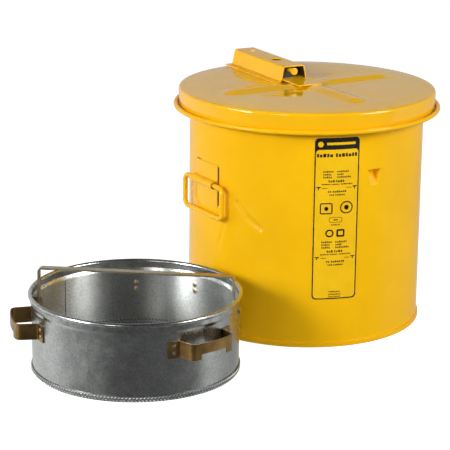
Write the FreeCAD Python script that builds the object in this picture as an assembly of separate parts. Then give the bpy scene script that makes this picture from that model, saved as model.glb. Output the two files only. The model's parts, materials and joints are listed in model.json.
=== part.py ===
import FreeCAD, Part
import math
import os

# Parts washer tank: sheet-steel pail with a flared, curled rim, a hinged pan lid
# with a hat-section channel and a fusible-link train, two drop handles, three
# pressed ledges for a drain basket, and the drain basket standing beside it.
# Origin: centre of the tank's foot ring on the floor.  +Z up, -Y front,
# +Y hinge side.  Millimetres.

V = FreeCAD.Vector
X, Y, Z = V(1, 0, 0), V(0, 1, 0), V(0, 0, 1)
O = V(0, 0, 0)
os.makedirs("parts", exist_ok=True)

# ---- driving dimensions ------------------------------------------------------
BODY_R = 145.0          # outside radius of the tank wall
WALL = 1.2              # tank sheet
SEAM_R = 147.0          # outside radius of the bottom seam ring
SEAM_H = 6.5
BEND_Z = 263.94         # where the wall line meets the flange line
BEAD_C = (162.4, 269.45)  # centre of the rim curl (r, z)
BEAD_RO, BEAD_RI = 2.9, 1.7
LEDGE_Z = 217.0         # top of the pressed ledges, seen from outside
LEDGE_IN = 131.0        # how far in the ledges reach (radius)
LABEL = (-18.0, 56.6, 59.9, 260.3)   # centre angle, arc width, z low, z high

LID_T = 1.2
LID_TOP = 293.4         # flat of the lid
LID_EDGE_R = 159.1
SKIRT_Z = 267.6
RIB_W, RIB_CREST, RIB_H, RIB_TIP = 33.0, 9.0, 2.6, 123.0
CH_Y0, CH_Y1 = 23.0, 152.0
CH_HALF, CH_TOP_HALF, CH_H, CH_T, CH_FL = 18.65, 14.9, 20.1, 1.5, 10.0
PIN_Y, PIN_Z, PIN_R = 172.0, 280.0, 2.95

HANDLE_Z = 188.5
HANDLE_X = 148.7
HANDLE_W, HANDLE_DROP, HANDLE_R = 86.0, 38.5, 3.0   # centre-line width, drop, rod radius

LEFT_TURN, RIGHT_TURN = 181.0, 5.0   # where the handle plates sit round the wall
TUNNEL = 24.5           # half length of the handle tunnel
LEDGES = (1.6, 121.6, -118.4)
CH_TURN, CH_PIVOT = -2.8, (0.0, 120.0)   # the channel sits a little askew on the lid

BASKET = (-282.5, -79.4)  # basket centre on the floor
BK_R, BK_T = 120.8, 1.0
BK_RIM = (122.0, 90.4, 2.7)
STRAPS = (11.0, 131.0, -109.0)
STRAP_REACH = (139.9, 139.9, 144.6)   # axis of the basket to the middle of each grip
BAIL_DIR = 52.6
BAIL_Z, BAIL_TOP, BAIL_R = 73.0, 115.4, 115.0


# ---- helpers -----------------------------------------------------------------
def corners(pts, rad):
    out = []
    n = len(pts)
    for i in range(n):
        p0, p, p1, r = pts[i - 1], pts[i], pts[(i + 1) % n], rad[i]
        ax, ay = p0[0] - p[0], p0[1] - p[1]
        la = math.hypot(ax, ay)
        bx, by = p1[0] - p[0], p1[1] - p[1]
        lb = math.hypot(bx, by)
        ax, ay, bx, by = ax / la, ay / la, bx / lb, by / lb
        ang = math.acos(max(-1.0, min(1.0, ax * bx + ay * by)))
        if r < 1e-6 or ang > math.pi - 2e-3:
            out.append((p, None, p))
            continue
        d = r / math.tan(ang / 2)
        mx, my = ax + bx, ay + by
        lm = math.hypot(mx, my)
        mx, my = mx / lm, my / lm
        h = r / math.sin(ang / 2)
        cx, cy = p[0] + mx * h, p[1] + my * h
        out.append(((p[0] + ax * d, p[1] + ay * d), (cx - mx * r, cy - my * r),
                    (p[0] + bx * d, p[1] + by * d)))
    return out


def outline(pts, rad, to3):
    if not isinstance(rad, (list, tuple)):
        rad = [rad] * len(pts)
    c = corners(pts, rad)
    e = []
    for i in range(len(c)):
        a, m, b = c[i]
        if m is not None:
            e.append(Part.Arc(to3(*a), to3(*m), to3(*b)).toShape())
        nx = c[(i + 1) % len(c)][0]
        if math.hypot(nx[0] - b[0], nx[1] - b[1]) > 1e-6:
            e.append(Part.LineSegment(to3(*b), to3(*nx)).toShape())
    return Part.Wire(e)


def rz(r, z):
    return V(r, 0, z)


def ring(pts, rad=0.0):
    """Solid of revolution about Z from an (r, z) outline."""
    return Part.Face(outline(pts, rad, rz)).revolve(O, Z, 360)


def strip(pts, rad, t):
    """Outline of a sheet of thickness t along an open centre line."""
    n = len(pts)
    left, right, rl, rr = [], [], [], []

    def unit(p, q):
        dx, dy = q[0] - p[0], q[1] - p[1]
        d = math.hypot(dx, dy)
        return dx / d, dy / d
    for i in range(n):
        if i == 0:
            d0 = d1 = unit(pts[0], pts[1])
        elif i == n - 1:
            d0 = d1 = unit(pts[-2], pts[-1])
        else:
            d0, d1 = unit(pts[i - 1], pts[i]), unit(pts[i], pts[i + 1])
        n0, n1 = (-d0[1], d0[0]), (-d1[1], d1[0])
        mx, my = n0[0] + n1[0], n0[1] + n1[1]
        lm = math.hypot(mx, my)
        mx, my = mx / lm, my / lm
        k = (t / 2) / (mx * n0[0] + my * n0[1])
        left.append((pts[i][0] + mx * k, pts[i][1] + my * k))
        right.append((pts[i][0] - mx * k, pts[i][1] - my * k))
        turn = d0[0] * d1[1] - d0[1] * d1[0]
        r = rad[i]
        if r <= 0:
            rl.append(0.0)
            rr.append(0.0)
        elif turn > 0:
            rl.append(max(r - t / 2, 0.0))
            rr.append(r + t / 2)
        else:
            rl.append(r + t / 2)
            rr.append(max(r - t / 2, 0.0))
    return left + right[::-1], rl + rr[::-1]


def sector_ring(c, ro, ri, a0, a1):
    """Curled edge: revolve of an annular sector centred on c in the (r, z) plane."""
    def p(r, a):
        a = math.radians(a)
        return V(c[0] + r * math.cos(a), 0, c[1] + r * math.sin(a))
    am = (a0 + a1) / 2
    w = Part.Wire([Part.Arc(p(ro, a0), p(ro, am), p(ro, a1)).toShape(),
                   Part.LineSegment(p(ro, a1), p(ri, a1)).toShape(),
                   Part.Arc(p(ri, a1), p(ri, am), p(ri, a0)).toShape(),
                   Part.LineSegment(p(ri, a0), p(ro, a0)).toShape()])
    return Part.Face(w).revolve(O, Z, 360)


def arc_plate(r0, r1, a0, a1, z0, z1):
    """Curved plate; angles in degrees from -Y towards +X."""
    h = z1 - z0
    s = Part.makeCylinder(r1, h, V(0, 0, z0), Z, a1 - a0).cut(
        Part.makeCylinder(r0, h + 2, V(0, 0, z0 - 1), Z))
    s.rotate(O, Z, a0 - 90)
    return s


def hull(top, bottom):
    """Solid between two convex loops with the same number of points."""
    n = len(top)
    faces = [Part.Face(Part.makePolygon(top + [top[0]])),
             Part.Face(Part.makePolygon(bottom + [bottom[0]]))]
    for i in range(n):
        a, b, c, d = top[i], top[(i + 1) % n], bottom[(i + 1) % n], bottom[i]
        faces.append(Part.Face(Part.makePolygon([a, b, c, a])))
        faces.append(Part.Face(Part.makePolygon([a, c, d, a])))
    s = Part.makeSolid(Part.makeShell(faces))
    if s.Volume < 0:
        s.reverse()
    return s


def cyl(r, p, q):
    d = q.sub(p)
    return Part.makeCylinder(r, d.Length, p, d)


def box(x0, x1, y0, y1, z0, z1):
    return Part.makeBox(x1 - x0, y1 - y0, z1 - z0, V(x0, y0, z0))


def rod(points, bend, r, closed=False):
    """Round rod along straight runs joined by tangent arcs."""
    n = len(points)
    cut = [0.0] * n
    arcs = [None] * n
    for i in range(n):
        if not closed and i in (0, n - 1):
            continue
        p0, p, p1 = points[i - 1], points[i], points[(i + 1) % n]
        a, b = p0.sub(p), p1.sub(p)
        a.normalize()
        b.normalize()
        ang = a.getAngle(b)
        d = bend / math.tan(ang / 2)
        cut[i] = d
        m = a.add(b)
        m.normalize()
        cen = p.add(m.multiply(bend / math.sin(ang / 2)))
        start = p.add(V(a).multiply(d))
        axis = a.cross(b)
        axis.normalize()
        circ = Part.Face(Part.Wire(Part.makeCircle(r, start, a)))
        arcs[i] = circ.revolve(cen, axis.multiply(-1), math.degrees(math.pi - ang))
    parts = [s for s in arcs if s is not None]
    last = n if closed else n - 1
    for i in range(last):
        p, q = points[i], points[(i + 1) % n]
        d = q.sub(p)
        d.normalize()
        parts.append(cyl(r, p.add(V(d).multiply(cut[i])), q.sub(V(d).multiply(cut[(i + 1) % n]))))
    s = parts[0]
    for q in parts[1:]:
        s = s.fuse(q)
    return s.removeSplitter()


def turned(shape, deg, centre=None):
    s = shape.copy()
    s.rotate(O, Z, deg)
    if centre is not None:
        s.translate(V(centre[0], centre[1], 0))
    return s


def group(shapes):
    return Part.makeCompound(shapes)


def save(name, shape):
    if isinstance(shape, Part.Compound) or shape.ShapeType == "Compound":
        sol = shape.Solids
        shape = sol[0] if len(sol) == 1 else Part.makeCompound(sol)
    assert shape.isValid(), name
    shape.exportStep("parts/%s.step" % name)
    bb = shape.BoundBox
    print("%-28s solids %2d vol %10.1f  x %.1f %.1f  y %.1f %.1f  z %.1f %.1f" % (
        name, len(shape.Solids), shape.Volume, bb.XMin, bb.XMax, bb.YMin, bb.YMax, bb.ZMin, bb.ZMax))


def at_angle(shape, phi, centre=None):
    """A piece built on the -Y side, turned to angle phi (from -Y towards +X)."""
    return turned(shape, phi, centre)


# ---- tank body -----------------------------------------------------------------
cw = BODY_R - WALL / 2
slope = math.radians(10.0)
end_r = BEAD_C[0] + 2.3 * math.sin(slope)
end_z = BEAD_C[1] - 2.3 * math.cos(slope)
pts, rad = strip([(cw, 1.2), (cw, BEND_Z), (end_r, end_z)], [0, 4.1, 0], WALL)
shell = ring(pts, rad).fuse(sector_ring(BEAD_C, BEAD_RO, BEAD_RI, -80, 200)).removeSplitter()


def ledge(half_o, half_i, half_b, r_in, z_top, z_bot):
    yo = -(BODY_R + 6)
    return hull([V(-half_o, yo, z_top), V(half_o, yo, z_top), V(half_i, -r_in, z_top), V(-half_i, -r_in, z_top)],
                [V(-half_b, yo, z_bot - 5), V(half_b, yo, z_bot - 5), V(half_b * 0.98, yo + 0.02, z_bot - 5.0),
                 V(-half_b * 0.98, yo + 0.02, z_bot - 5.0)])


inner_cyl = Part.makeCylinder(BODY_R - 0.5, 60, V(0, 0, 180))
for phi in LEDGES:
    skin = ledge(12.7, 7.2, 6.0, LEDGE_IN - 1.3, LEDGE_Z + 1.2, 196.0 - 1.6).common(inner_cyl)
    shell = shell.fuse(at_angle(skin, phi))
for phi in LEDGES:
    shell = shell.cut(at_angle(ledge(11.3, 6.0, 4.4, LEDGE_IN, LEDGE_Z, 196.0), phi))

# rivets of the hinge bracket pass through the wall
RIVETS = [(math.degrees(math.asin(x / BODY_R)), z) for x in (-20, 20) for z in (221, 239)]


def radial(r, r0, r1, phi, z):
    """Cylinder of radius r along the radius, phi measured from the +Y side."""
    a = math.radians(phi)
    d = V(math.sin(a), math.cos(a), 0)
    return cyl(r, V(d.x * r0, d.y * r0, z), V(d.x * r1, d.y * r1, z))


for a, z in RIVETS:
    shell = shell.cut(radial(2.0, 140, 150, a, z))
save("tank_shell", shell)

pts, rad = strip([(143.15, 1.2), (143.15, 7.4), (0.0, 7.4)], [0, 2.2, 0], 1.3)
save("tank_bottom", ring(pts, rad))
save("bottom_seam_ring", ring(
    [(141.3, 0), (SEAM_R, 0), (SEAM_R, SEAM_H), (BODY_R, SEAM_H), (BODY_R, 1.2), (142.5, 1.2), (142.5, 5.0), (141.3, 5.0)],
    [0.8, 1.6, 0.9, 0, 0, 0, 0, 0.5]))
save("shell_seam_weld", arc_plate(BODY_R, BODY_R + 0.6, 205.0, 206.6, 8.0, 256.0))
dphi = math.degrees(LABEL[1] / 2 / BODY_R)
lab = arc_plate(BODY_R, BODY_R + 0.3, LABEL[0] - dphi, LABEL[0] + dphi, LABEL[2], LABEL[3])
save("label_decal", lab)

# ---- handle plates and drop handles (built on +X, the left one turned round) ----
plate = arc_plate(BODY_R, BODY_R + 1.5, 90 - 16, 90 + 16, 158.0, 215.0)
blank = Part.Face(outline([(-25.5, 160.5), (25.5, 160.5), (25.5, 213.0), (-25.5, 213.0)], 2.5,
                          lambda a, b: V(120, a, b))).extrude(V(40, 0, 0))
plate = plate.common(blank)
tun = cyl(4.9, V(HANDLE_X, -TUNNEL, HANDLE_Z), V(HANDLE_X, TUNNEL, HANDLE_Z)).fuse(
    box(138.0, HANDLE_X, -TUNNEL, TUNNEL, HANDLE_Z - 4.9, HANDLE_Z + 4.9))
tun = tun.cut(Part.makeCylinder(BODY_R, 40, V(0, 0, HANDLE_Z - 20)))
plate = plate.fuse(tun)
plate = plate.cut(cyl(3.1, V(HANDLE_X, -40, HANDLE_Z), V(HANDLE_X, 40, HANDLE_Z)))
plate = plate.cut(box(136.0, HANDLE_X, -40, 40, HANDLE_Z - 3.1, HANDLE_Z + 3.1))
for y0, y1 in ((-TUNNEL - 2, -TUNNEL + 1.6), (TUNNEL - 1.6, TUNNEL + 2)):
    plate = plate.cut(cyl(4.1, V(HANDLE_X, y0, HANDLE_Z), V(HANDLE_X, y1, HANDLE_Z)))
save("right_handle_plate", turned(plate, RIGHT_TURN))
save("left_handle_plate", turned(plate, LEFT_TURN))

hw, zt, zb = HANDLE_W / 2, HANDLE_Z, HANDLE_Z - HANDLE_DROP
handle = rod([V(HANDLE_X, -hw, zt), V(HANDLE_X, -hw, zb), V(HANDLE_X, hw, zb), V(HANDLE_X, hw, zt)],
             7.0, HANDLE_R, closed=True)
save("right_drop_handle", turned(handle, RIGHT_TURN))
save("left_drop_handle", turned(handle, LEFT_TURN))

# ---- hinge ---------------------------------------------------------------------
def knuckle(x0, x1):
    return cyl(5.0, V(x0, PIN_Y, PIN_Z), V(x1, PIN_Y, PIN_Z))


bore = cyl(3.02, V(-50, PIN_Y, PIN_Z), V(50, PIN_Y, PIN_Z))
TANK_K = [(-30, -18.3), (-5.9, 5.9), (18.3, 30)]
LID_K = [(-18.0, -6.2), (6.2, 18.0)]
br = arc_plate(BODY_R, BODY_R + 2.4, 180 - 11.94, 180 + 11.94, 212.0, 248.4)
br = br.fuse(box(-30, 30, 143, 177, 246.0, 248.4).cut(Part.makeCylinder(BODY_R, 20, V(0, 0, 240))))
br = br.fuse(box(-30, 30, 174.6, 177, 246.0, 272.5))
for x0, x1 in TANK_K:
    br = br.fuse(box(x0, x1, 174.6, 177, 270, PIN_Z)).fuse(knuckle(x0, x1))
for x0 in (-30, 28):
    tri = Part.Face(Part.makePolygon([V(x0, 141, 214), V(x0, 147.6, 214), V(x0, 177, 243), V(x0, 177, 247), V(x0, 141, 247), V(x0, 141, 214)]))
    br = br.fuse(tri.extrude(V(2, 0, 0)).cut(Part.makeCylinder(BODY_R, 60, V(0, 0, 200))))
br = br.cut(bore)
for a, z in RIVETS:
    br = br.cut(radial(2.0, 140, 152, a, z))
save("hinge_bracket", br.removeSplitter())

rv = []
for a, z in RIVETS:
    s = radial(2.0, 143.5, 147.6, a, z).fuse(radial(3.6, 147.42, 148.6, a, z)).fuse(radial(2.6, 148.6, 149.2, a, z))
    s = s.fuse(radial(3.2, 142.4, 143.72, a, z))
    rv.append(s.removeSplitter())
save("bracket_rivets", group(rv))

pin = cyl(PIN_R, V(-31, PIN_Y, PIN_Z), V(33, PIN_Y, PIN_Z)).fuse(cyl(4.6, V(-32.2, PIN_Y, PIN_Z), V(-30.1, PIN_Y, PIN_Z)))
save("hinge_pin", pin.removeSplitter())
save("hinge_pin_clip", cyl(5.2, V(30.3, PIN_Y, PIN_Z), V(31.5, PIN_Y, PIN_Z)).cut(
    cyl(PIN_R, V(30, PIN_Y, PIN_Z), V(32, PIN_Y, PIN_Z))))

leaf = Part.makeCylinder(161.2, 15, V(0, 0, 274.5)).cut(Part.makeCylinder(159.0, 20, V(0, 0, 272)))
leaf = leaf.common(box(-18, 18, 150, 165, 270, 295))
for x0, x1 in LID_K:
    leaf = leaf.fuse(box(x0, x1, 159.3, PIN_Y, PIN_Z + 3.0, PIN_Z + 5.0)).fuse(knuckle(x0, x1))
leaf = leaf.cut(bore)
leaf = leaf.cut(Part.makeCylinder(159.0, 20, V(0, 0, 272)))
save("lid_hinge_leaf", leaf.removeSplitter())

# ---- lid -----------------------------------------------------------------------
cz = LID_TOP - LID_T / 2
pts, rad = strip([(0.0, cz), (133.0, cz), (152.6, 291.35), (158.5, 290.95), (157.9, SKIRT_Z)],
                 [0, 30, 20, 3.0, 0], LID_T)
lid = ring(pts, rad)


def stadium(half_len, half_w, z, along_x):
    p = [(-half_len, -half_w), (half_len, -half_w), (half_len, half_w), (-half_len, half_w)]
    f = (lambda a, b: V(a, b, z)) if along_x else (lambda a, b: V(b, a, z))
    return outline(p, half_w * 0.98, f)


def rib(along_x, dz):
    lo = stadium(RIB_TIP, RIB_W / 2, LID_TOP + dz - 0.2, along_x)
    hi = stadium(RIB_TIP - 7.5, RIB_CREST / 2, LID_TOP + RIB_H + dz, along_x)
    return Part.makeLoft([lo, hi], True, True)


outer = rib(True, 0).fuse(rib(False, 0))
inner = rib(True, -LID_T).fuse(rib(False, -LID_T))
lid = lid.fuse(outer).cut(inner)
save("lid_pan", lid.removeSplitter())

zf = LID_TOP + CH_T / 2


def askew(name, shape):
    """Save a piece of the channel group, turned with the channel."""
    s = shape.copy()
    s.rotate(V(CH_PIVOT[0], CH_PIVOT[1], 0), Z, CH_TURN)
    save(name, s)


pts, rad = strip([(-CH_HALF - CH_FL, zf), (-CH_HALF + 0.75, zf), (-CH_TOP_HALF + 0.75, LID_TOP + CH_H - 0.75),
                  (CH_TOP_HALF - 0.75, LID_TOP + CH_H - 0.75), (CH_HALF - 0.75, zf), (CH_HALF + CH_FL, zf)],
                 [0, 1.6, 3.2, 3.2, 1.6, 0], CH_T)
ch = Part.Face(outline(pts, rad, lambda a, b: V(a, CH_Y0, b))).extrude(V(0, CH_Y1 - CH_Y0, 0))
ch = ch.cut(cyl(8.0, V(0, 68, 305), V(0, 68, 320))).cut(cyl(5.4, V(1.0, 132.5, 305), V(1.0, 132.5, 320)))
askew("lid_channel", ch)
askew("channel_spot_welds", group([cyl(2.6, V(sx * 23.4, y, LID_TOP + CH_T), V(sx * 23.4, y, LID_TOP + CH_T + 0.35))
                                   for sx in (-1, 1) for y in (36, 66, 96, 126, 146)]))

PZ = LID_TOP + RIB_H            # underside of the base plate, on the rib crest
askew("lid_base_plate", box(-16.0, 16.0, -18.5, 150.0, PZ, PZ + 1.5))
LX, LZ = -4.4, 307.9            # line of the link train
TOP_IN = LID_TOP + CH_H - CH_T - 0.6     # just under the inside of the channel's top
fb = box(LX - 8, LX + 8, 30.0, 44.0, PZ + 1.5, PZ + 3.0).fuse(box(LX - 6.5, LX + 6.5, 30.0, 31.6, PZ + 1.5, TOP_IN))
askew("link_front_bracket", fb.cut(cyl(2.5, V(LX, 20, LZ), V(LX, 50, LZ))).removeSplitter())
stud = cyl(4.4, V(LX, 13.5, LZ), V(LX, 15.9, LZ)).fuse(cyl(3.3, V(LX, 12.9, LZ), V(LX, 14, LZ)))
stud = stud.fuse(cyl(2.5, V(LX, 15.9, LZ), V(LX, 38, LZ)))
stud = stud.fuse(box(LX - 2.4, LX + 2.4, 36, 46, LZ - 0.75, LZ + 0.75)).cut(cyl(1.5, V(LX, 43.8, LZ - 5), V(LX, 43.8, LZ + 5)))
askew("link_anchor_stud", stud.removeSplitter())


def link_ring(y):
    t = Part.makeTorus(2.7, 0.8, V(LX, y, LZ), X)
    return t


def leaf_strip(y0, y1, z, hole_y):
    s = box(LX - 6, LX + 6, y0, y1, z, z + 0.8)
    return s.cut(cyl(1.5, V(LX, hole_y, z - 2), V(LX, hole_y, z + 3)))


askew("link_ring_front", link_ring(46.5))
askew("fusible_link_leaf_front", leaf_strip(47.2, 76, LZ - 0.4, 49.2))
askew("fusible_link_solder", box(LX - 5.6, LX + 5.6, 62, 76, LZ + 0.4, LZ + 0.7))
askew("fusible_link_leaf_rear", leaf_strip(62, 90.8, LZ + 0.7, 88.8))
askew("link_ring_rear", link_ring(91.5))
pull = box(LX - 2.4, LX + 2.4, 92.2, 100, LZ - 0.75, LZ + 0.75).cut(cyl(1.5, V(LX, 94.2, LZ - 5), V(LX, 94.2, LZ + 5)))
pull = pull.fuse(cyl(1.5, V(LX, 98, LZ), V(LX, 149, LZ)))
askew("link_pull_rod", pull.removeSplitter())
rb = box(LX - 9, LX + 9, 124.0, 142.0, PZ + 1.5, PZ + 3.0).fuse(box(LX - 6.5, LX + 6.5, 140.4, 142.0, PZ + 1.5, TOP_IN))
rb = rb.fuse(box(LX - 6.5, LX + 6.5, 125.0, 142.0, TOP_IN - 1.5, TOP_IN))
askew("link_rear_bracket", rb.cut(cyl(1.5, V(LX, 120, LZ), V(LX, 160, LZ))).removeSplitter())
hexp = [V(LX + 3.2 * math.cos(math.radians(60 * k)), 142.0, LZ + 3.2 * math.sin(math.radians(60 * k))) for k in range(6)]
nut = Part.Face(Part.makePolygon(hexp + [hexp[0]])).extrude(V(0, 2.6, 0)).cut(cyl(1.5, V(LX, 140, LZ), V(LX, 150, LZ)))
askew("link_adjusting_nut", nut)

# ---- drain basket (built at the origin, then set beside the tank) -----------------
cb = BK_R - BK_T / 2
pts, rad = strip([(cb, 2.4), (cb, 78.2), (BK_RIM[0], 82.4), (BK_RIM[0], 88.2)], [0, 3.0, 3.0, 0], BK_T)
wall = ring(pts, rad).fuse(sector_ring(BK_RIM[:2], BK_RIM[2], 1.7, -112, 222)).removeSplitter()


def bail_axis_cyl(r, u0, u1, side):
    return cyl(r, V(side * u0, 0, BAIL_Z), V(side * u1, 0, BAIL_Z))


for side in (1, -1):
    wall = wall.cut(turned(bail_axis_cyl(2.5, 110, 130, side), BAIL_DIR - 90))
save("basket_shell", turned(wall, 0, BASKET))
save("basket_rim_wire", turned(Part.makeTorus(BK_RIM[0], 1.6, V(0, 0, BK_RIM[1]), Z), 0, BASKET))
save("basket_seam_strip", turned(arc_plate(cb - 0.5 - 0.8, cb - 0.5 + 0.0, 194 - 3.2, 194 + 3.2, 4.4, 77.0), 0, BASKET))
save("basket_hem_ring", turned(ring(
    [(116.0, 0), (122.6, 0), (122.6, 7.6), (BK_R, 7.6), (BK_R, 2.4), (116.0, 2.4)],
    [0.8, 1.6, 0.7, 0, 0, 0.8]), 0, BASKET))

screen = Part.makeCylinder(BK_R - BK_T, 1.6, V(0, 0, 2.4))
holes = []
step = 15.0
for i in range(-9, 10):
    for j in range(-9, 10):
        hx, hy = i * step, j * step
        if math.hypot(hx, hy) < 106:
            holes.append(box(hx - 5.25, hx + 5.25, hy - 5.25, hy + 5.25, 2.0, 4.5))
screen = screen.cut(Part.makeCompound(holes))
save("basket_screen", turned(screen, 0, BASKET))

R1 = BK_R + 0.85


def strap_handle(reach):
    """Bent strap: two feet on the wall and a bowed grip `reach` from the basket's axis."""
    pp = []
    for a in (-21.8, -18.4, -15.0):
        pp.append((R1 * math.sin(math.radians(a)), -R1 * math.cos(math.radians(a))))
    for a in (-12.0, -6.0, 0.0, 6.0, 12.0):
        k = reach if abs(a) > 11 else reach * 1.0027
        pp.append((k * math.sin(math.radians(a)), -k * math.cos(math.radians(a))))
    for a in (15.0, 18.4, 21.8):
        pp.append((R1 * math.sin(math.radians(a)), -R1 * math.cos(math.radians(a))))
    pts, rad = strip(pp, [0, 25, 2.0, 6.5, 60, 60, 60, 6.5, 2.0, 25, 0], 1.5)
    body = Part.Face(outline(pts, rad, lambda a, b: V(a, b, 50.0))).extrude(V(0, 0, 19.0))
    notch = box(-18.8, 18.8, -155, -128, 45, 56.5)
    notch = notch.makeFillet(1.5, [e for e in notch.Edges if abs(e.BoundBox.YLength - 27) < 0.01 and e.BoundBox.ZMin > 56])
    return body.cut(notch)


for name, phi, reach in zip(("strap_handle_front", "strap_handle_right", "strap_handle_left"), STRAPS, STRAP_REACH):
    save(name, at_angle(strap_handle(reach), phi, BASKET))
weld = []
for phi in STRAPS:
    for da in (-18.4, 18.4):
        for z in (55.5, 63.5):
            for r0, r1 in ((BK_R + 1.6, BK_R + 2.15), (BK_R - BK_T - 0.6, BK_R - BK_T - 0.05)):
                c = cyl(2.3, V(0, -r0, z), V(0, -r1, z))
                weld.append(at_angle(c, phi + da, BASKET))
save("strap_spot_welds", group(weld))

rvt, spc = [], []
for side in (1, -1):
    s = bail_axis_cyl(2.5, BAIL_R - 3, BK_R + 0.1, side).fuse(bail_axis_cyl(5.0, BAIL_R - 3.9, BAIL_R - 2.1, side))
    s = s.fuse(bail_axis_cyl(3.6, BAIL_R - 4.5, BAIL_R - 3.9, side)).fuse(bail_axis_cyl(3.7, BK_R + 0.05, BK_R + 1.6, side))
    rvt.append(turned(s.removeSplitter(), BAIL_DIR - 90, BASKET))
    c = bail_axis_cyl(5.2, BAIL_R + 0.1, BK_R - BK_T - 0.15, side).cut(bail_axis_cyl(2.5, 100, 130, side))
    spc.append(turned(c, BAIL_DIR - 90, BASKET))
save("bail_rivets", group(rvt))
save("bail_spacers", group(spc))

bu, bt = BAIL_R - 1.0, BAIL_TOP - 1.0
pts, rad = strip([(-bu, BAIL_Z), (-bu, bt), (bu, bt), (bu, BAIL_Z)], [0, 4.0, 4.0, 0], 2.0)
bail = Part.Face(outline(pts, rad, lambda a, b: V(a, -5.0, b))).extrude(V(0, 10, 0))
for side in (1, -1):
    bail = bail.fuse(bail_axis_cyl(5.0, BAIL_R - 2.0, BAIL_R, side))
for side in (1, -1):
    bail = bail.cut(bail_axis_cyl(2.58, 100, 130, side))
save("basket_bail", turned(bail.removeSplitter(), BAIL_DIR - 90, BASKET))
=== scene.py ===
import json
import math

import bpy
import numpy as np
from mathutils import Matrix, Vector


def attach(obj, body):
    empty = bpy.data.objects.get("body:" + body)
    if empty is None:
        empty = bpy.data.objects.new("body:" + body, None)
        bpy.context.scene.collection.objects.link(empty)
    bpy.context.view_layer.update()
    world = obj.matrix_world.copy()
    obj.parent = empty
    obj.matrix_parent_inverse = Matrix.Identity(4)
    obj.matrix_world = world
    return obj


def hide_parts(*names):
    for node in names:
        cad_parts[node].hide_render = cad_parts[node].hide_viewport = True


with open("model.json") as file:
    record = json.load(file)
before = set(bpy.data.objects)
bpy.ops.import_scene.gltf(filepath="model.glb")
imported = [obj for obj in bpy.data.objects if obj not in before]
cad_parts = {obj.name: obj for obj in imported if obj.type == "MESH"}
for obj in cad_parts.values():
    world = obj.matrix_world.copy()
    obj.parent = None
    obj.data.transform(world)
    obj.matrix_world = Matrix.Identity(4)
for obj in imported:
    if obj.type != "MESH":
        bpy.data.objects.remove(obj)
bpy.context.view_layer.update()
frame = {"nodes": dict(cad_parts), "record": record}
nodes = frame["nodes"]
slot_of = {s["node"]: s["material_slot"] for s in frame["record"]["subparts"]}
scene = bpy.context.scene
MM = 0.001
rng = np.random.default_rng(7)

# sizes in millimetres, the same as the frame's
BODY_R, WALL = 145.0, 1.2
BEAD = (162.4, 269.45)
LEDGE_Z = 217.0
LID_TOP, LID_T, SKIRT_Z = 293.4, 1.2, 267.6
RIB_W, RIB_CREST, RIB_H, RIB_TIP = 33.0, 9.0, 2.6, 123.0
BASKET = (-282.5, -79.4)
BK_R, BK_T, BK_RIM = 120.8, 1.0, (122.0, 90.4, 2.7)
LABEL_PHI = -18.0


# ---- mesh helpers ---------------------------------------------------------------
def piece(name, verts, faces, mat, body, hides=(), angle=35.0):
    """A mesh in millimetres of the shared frame, riding on a body."""
    me = bpy.data.meshes.new(name)
    v = np.asarray(verts, float).reshape(-1, 3) * MM
    me.from_pydata(v.tolist(), [], faces if isinstance(faces, list) else faces.tolist())
    me.validate()
    me.polygons.foreach_set("use_smooth", [True] * len(me.polygons))
    me.set_sharp_from_angle(angle=math.radians(angle))
    me.materials.append(mat)
    me.update()
    o = bpy.data.objects.new(name, me)
    scene.collection.objects.link(o)
    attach(o, body)
    if hides:
        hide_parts(*hides)
    return o


def join(parts):
    """Several (verts, faces) as one."""
    vs, fs, n = [], [], 0
    for v, f in parts:
        v = np.asarray(v, float).reshape(-1, 3)
        vs.append(v)
        fs += [tuple(i + n for i in q) for q in f]
        n += len(v)
    return np.concatenate(vs), fs


def rounded(pts, rad, closed=False, step=9.0):
    """Polyline with its corners rounded, (r, z) points."""
    out = []
    n = len(pts)
    for i, p in enumerate(pts):
        p = np.array(p, float)
        r = rad[i]
        if r <= 0 or (not closed and i in (0, n - 1)):
            out.append(p)
            continue
        a = np.array(pts[i - 1], float) - p
        b = np.array(pts[(i + 1) % n], float) - p
        a /= np.linalg.norm(a)
        b /= np.linalg.norm(b)
        half = math.acos(max(-1, min(1, float(a @ b)))) / 2
        t = r / math.tan(half)
        c = p + (a + b) / np.linalg.norm(a + b) * r / math.sin(half)
        s, e = p + a * t - c, p + b * t - c
        a0, a1 = math.atan2(s[1], s[0]), math.atan2(e[1], e[0])
        d = (a1 - a0 + math.pi) % (2 * math.pi) - math.pi
        k = max(2, int(abs(math.degrees(d)) / step) + 1)
        for j in range(k + 1):
            q = a0 + d * j / k
            out.append(c + r * np.array([math.cos(q), math.sin(q)]))
    return np.array(out)


def offset(path, d):
    """Points moved d to the left of an open path."""
    p = np.asarray(path, float)
    t = np.gradient(p, axis=0)
    seg = np.diff(p, axis=0)
    seg /= np.linalg.norm(seg, axis=1)[:, None]
    t = np.vstack([seg[:1], seg[:-1] + seg[1:], seg[-1:]])
    ln = np.linalg.norm(t, axis=1)[:, None]
    t = t / ln
    k = np.ones(len(p))
    k[1:-1] = 2 / np.maximum(ln[1:-1, 0], 1.2)
    return p + np.stack([-t[:, 1], t[:, 0]], 1) * d * k[:, None]


def arc2(c, r, a0, a1, n):
    a = np.radians(np.linspace(a0, a1, n))
    return np.stack([c[0] + r * np.cos(a), c[1] + r * np.sin(a)], 1)


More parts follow.
